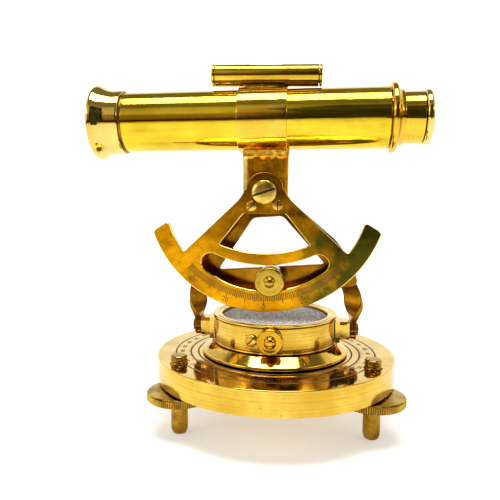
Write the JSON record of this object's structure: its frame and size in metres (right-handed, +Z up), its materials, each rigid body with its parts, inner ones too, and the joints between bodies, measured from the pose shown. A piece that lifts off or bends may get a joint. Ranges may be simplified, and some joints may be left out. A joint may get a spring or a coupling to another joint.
{
  "type": "surveyor's alidade",
  "caption": "Brass surveyor's alidade: telescope with level tube on a tilting graduated sector, over a turning compass drum and a levelled round base.",
  "frame": {"origin": "on the surface the feet stand on, under the middle of the part's box; the vertical turning axis stands 6.55 mm towards +X and 3.15 mm towards -Y of it", "axes": "+Z up the vertical axis, +X along the telescope from objective to eyepiece, -Y the front with the graduated face"},
  "size_m": [0.1298, 0.1012, 0.1405],
  "materials": {
    "bright_brass": "polished, lacquered",
    "pale_brass": "mirror polished top, turned side",
    "amber_brass": "satin, amber lacquer",
    "dark_brass": "aged, unlacquered",
    "dial_card": "matt white enamel",
    "frosted_glass": "ground, speckled grey",
    "steel": "turned",
    "blued_steel": "blued",
    "optical_glass": "polished",
    "vial_glass": "clear glass, green spirit",
    "black_lens": "polished black"
  },
  "bodies": {
    "base": {"base_plate": "pale_brass", "centre_spindle": "dark_brass"},
    "foot_1": {"leveling_screw_1": "dark_brass"},
    "foot_2": {"leveling_screw_2": "dark_brass"},
    "foot_3": {"leveling_screw_3": "dark_brass"},
    "wheel_1": {"leveling_wheel_1": "dark_brass"},
    "wheel_2": {"leveling_wheel_2": "dark_brass"},
    "wheel_3": {"leveling_wheel_3": "dark_brass"},
    "compass": {"vernier_skirt": "bright_brass", "compass_drum": "bright_brass", "bezel_ring": "pale_brass", "compass_dial": "dial_card", "cover_glass": "frosted_glass", "needle_pin": "steel", "left_lug": "bright_brass", "right_lug": "bright_brass", "left_leg_screw": "dark_brass", "right_leg_screw": "dark_brass", "drum_screw": "amber_brass", "upright_frame": "bright_brass", "pivot_washer": "bright_brass", "pivot_screw": "amber_brass", "pivot_nut": "dark_brass", "clamp_spacer": "dark_brass"},
    "needle": {"compass_needle": "blued_steel"},
    "drum_clamp": {"drum_thumbscrew": "amber_brass"},
    "sector_clamp": {"sector_clamp_knob": "bright_brass"},
    "telescope": {"sector_plate": "amber_brass", "left_sector_screw": "amber_brass", "right_sector_screw": "amber_brass", "neck_block": "bright_brass", "clamp_band": "bright_brass", "main_tube": "bright_brass", "objective_bell": "bright_brass", "objective_lens": "optical_glass", "tube_collar": "bright_brass", "level_tube": "bright_brass", "level_vial": "vial_glass", "left_level_cap": "bright_brass", "right_level_cap": "bright_brass"},
    "eyepiece": {"draw_tube": "bright_brass", "eyepiece_cap": "bright_brass", "eye_lens": "black_lens"}
  },
  "joints": [
    {"name": "foot_1_lift", "type": "slide", "parent": "base", "child": "foot_1", "axis": [0, 0, 1], "range_m": [-0.003, 0.0004]},
    {"name": "wheel_1_turn", "type": "hinge", "parent": "foot_1", "child": "wheel_1", "pos_m": [-0.02802, -0.02647, 0.01525], "axis": [0, 0, 1], "range_deg": [-1090, 154]},
    {"name": "foot_2_lift", "type": "slide", "parent": "base", "child": "foot_2", "axis": [0, 0, 1], "range_m": [-0.003, 0.0004]},
    {"name": "wheel_2_turn", "type": "hinge", "parent": "foot_2", "child": "wheel_2", "pos_m": [0.04403, -0.02143, 0.01525], "axis": [0, 0, 1], "range_deg": [-1090, 154]},
    {"name": "foot_3_lift", "type": "slide", "parent": "base", "child": "foot_3", "axis": [0, 0, 1], "range_m": [-0.003, 0.0004]},
    {"name": "wheel_3_turn", "type": "hinge", "parent": "foot_3", "child": "wheel_3", "pos_m": [0.00364, 0.03845, 0.01525], "axis": [0, 0, 1], "range_deg": [-1090, 154]},
    {"name": "azimuth_turn", "type": "hinge", "parent": "base", "child": "compass", "pos_m": [0.00655, -0.00315, 0.0316], "axis": [0, 0, 1], "continuous": true},
    {"name": "needle_swing", "type": "hinge", "parent": "compass", "child": "needle", "pos_m": [0.00655, -0.00315, 0.0395], "axis": [0, 0, 1], "continuous": true},
    {"name": "drum_clamp_turn", "type": "hinge", "parent": "compass", "child": "drum_clamp", "pos_m": [0.00655, -0.02915, 0.0377], "axis": [0, -1, 0], "range_deg": [-180, 45]},
    {"name": "sector_clamp_turn", "type": "hinge", "parent": "compass", "child": "sector_clamp", "pos_m": [0.00519, -0.01115, 0.05718], "axis": [0, -1, 0], "range_deg": [-180, 45]},
    {"name": "telescope_tilt", "type": "hinge", "parent": "compass", "child": "telescope", "pos_m": [0.00285, -0.00315, 0.0915], "axis": [0, 1, 0], "range_deg": [-42, 35]},
    {"name": "eyepiece_focus", "type": "slide", "parent": "telescope", "child": "eyepiece", "axis": [1, 0, 0], "range_m": [-0.006, 0.01]}
  ],
  "couplings": [
    {"joint": "wheel_1_turn", "follows": "foot_1_lift", "rad_per_m": 6283.2},
    {"joint": "wheel_2_turn", "follows": "foot_2_lift", "rad_per_m": 6283.2},
    {"joint": "wheel_3_turn", "follows": "foot_3_lift", "rad_per_m": 6283.2}
  ]
}
